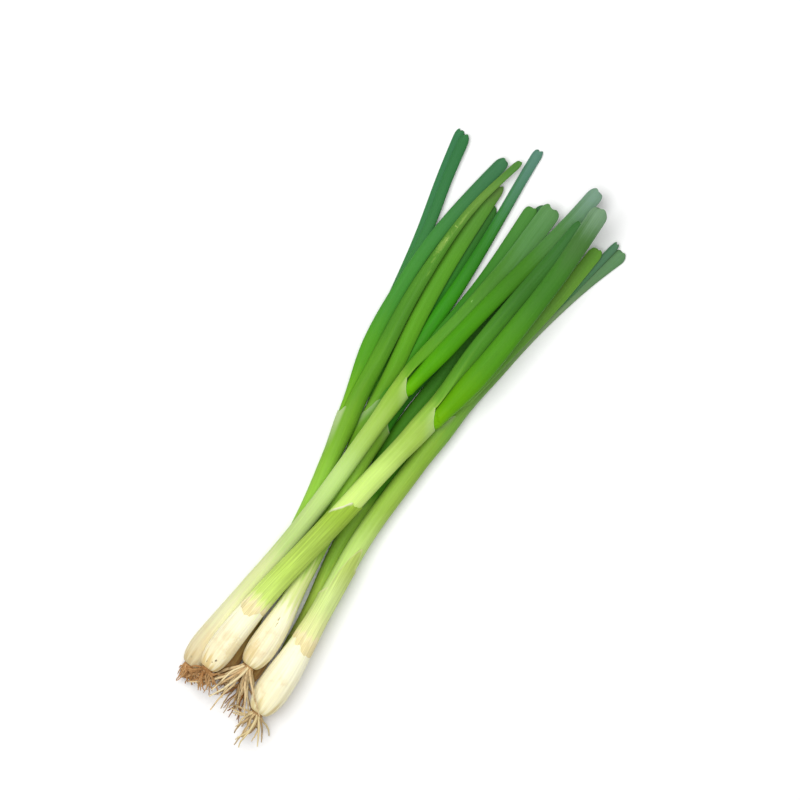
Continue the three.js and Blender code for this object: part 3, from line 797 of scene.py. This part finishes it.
# The front onion, on top of all. Its outer sheath is torn halfway up, and above it the shaft forks as
# the left onion's does.
front = Shaft(1, bulb=16, stem=12.2, mouth=14, rim=23.4, taper=3.6)
grow_roots(front, 60, 16, 1.15, pale="d8b482", brown="a87848", browned=0.6, spread=1.0, lean=-0.05,
           curl=0.26, droop=0.12)
# The old blade's deep green from 235 mm on is partly its own colour, partly painted shade between the young
# leaves.
grow_shaft(
    front,
    Leaf(front, 2, (9.4, 8.4), roof=0.3, roof_at=0.25),
    [(0, "dec78d"), (7, "efe5bf"), (38, "f8f4d2"), (60, "dcee9c"), (118, "cbe67e"), (140, "c2e075"),
     (170, "9fc052"), (186, "90b848"), (202, "659c2e"), (235, "4a8426"), (275, "3a6e26"), (326, "3a6c34")],
    # The last mark, a tan patch on the bulb's right flank, is partly its own tan, partly painted shade.
    marks=[((-152.4, -6.2), (0.8, 0.6), "4b3a28", 0.85), ((-160.1, -1.3), (0.7, 0.5), "8c8468", 0.7),
           ((-155.6, -2.3), (0.9, 0.4), "8c8468", 0.6), ((-154.4, -5), (0.6, 0.4), "8c7448", 0.7),
           ((-142, -9.6), (7.5, 2.4), "e4d09c", 0.6)],
)
grow_outer_sheath(
    front,
    torn_end([(0, -118), (54, -121.1), (78, -122.1), (100, -121.1), (108, -118.6), (133, -116.1), (180, -117),
              (360, -118)]),
    torn_end([(0, -50.1), (37, -47.1), (57, -44.1), (73, -41.1), (87, -38.1), (97, -36.5), (105, -37.5),
              (117, -37.7), (140, -37.1), (165, -35.6), (180, -35.1), (270, -41.1), (360, -50.1)]),
    [(0, "e6d8a2"), (0.03, "eadfae"), (0.06, "dce496"), (0.11, "c3dc70"), (0.3, "b4d05e"), (0.5, "a2be50"),
     (0.75, "94b53c"), (1, "8caf36")],
    peel=lambda angle: ease((math.degrees(angle) - 20) / 30) * (1 - ease((math.degrees(angle) - 90) / 15)),
    veins=0.24,
    film="dddcbc",
)
grow_leaf(front, Leaf(front, 1, (9, 8)), [(0, "32701f"), (0.4, "326424"), (1, "35622e")], hidden=True)
grow_leaf(
    front,
    Leaf(front, 3, (12.6, 10.6), roundness=0.6, lean=-0.12),
    [(0, "6eab0a"), (0.12, "5d9c0c"), (0.35, "4d8c1c"), (0.68, "3f7626"), (0.85, "456f34"), (1, "70906f")],
)


# The surface, the light and the camera: a white table under one large soft light overhead, seen from
# straight above with the bunch lying across the picture from lower left to upper right.
TABLE_REACH = 3
bm = bmesh.new()
bmesh.ops.create_grid(bm, x_segments=1, y_segments=1, size=TABLE_REACH)
floor_mesh = bpy.data.meshes.new("floor")
bm.to_mesh(floor_mesh)
bm.free()
white_table = Finish("white table", 0.6)
white_table.shader.inputs["Base Color"].default_value = colour("f8f8f8")
floor_mesh.materials.append(white_table.material)
floor = bpy.data.objects.new("floor", floor_mesh)
bpy.context.scene.collection.objects.link(floor)

scene = bpy.context.scene
scene.view_settings.view_transform = "Standard"
world = bpy.data.worlds.new("studio")
world.use_nodes = True
world.node_tree.nodes["Background"].inputs["Color"].default_value = (1, 1, 1, 1)
world.node_tree.nodes["Background"].inputs["Strength"].default_value = 0.38
scene.world = world


def area_light(name, place, size, power):
    light = bpy.data.lights.new(name, "AREA")
    light.energy = power
    light.size = size
    lamp = bpy.data.objects.new(name, light)
    lamp.location = place
    lamp.rotation_mode = "QUATERNION"
    lamp.rotation_quaternion = Vector(place).to_track_quat("Z", "Y")
    scene.collection.objects.link(lamp)


area_light("key", (0.0, 0.25, 1.45), 1.0, 21)

PICTURE_WIDTH = 448 * MM
PICTURE_MIDDLE = (25.3 * MM, -3.8 * MM)
TURN = math.radians(-54)
CAMERA_HEIGHT = 3.0
TRUE_SCALE_HEIGHT = 15 * MM
SENSOR_WIDTH = 36
camera = bpy.data.objects.new("camera", bpy.data.cameras.new("camera"))
camera.location = (*PICTURE_MIDDLE, CAMERA_HEIGHT)
camera.rotation_euler = (0, 0, TURN)
camera.data.sensor_width = SENSOR_WIDTH
camera.data.lens = SENSOR_WIDTH * (CAMERA_HEIGHT - TRUE_SCALE_HEIGHT) / PICTURE_WIDTH
scene.collection.objects.link(camera)
scene.camera = camera
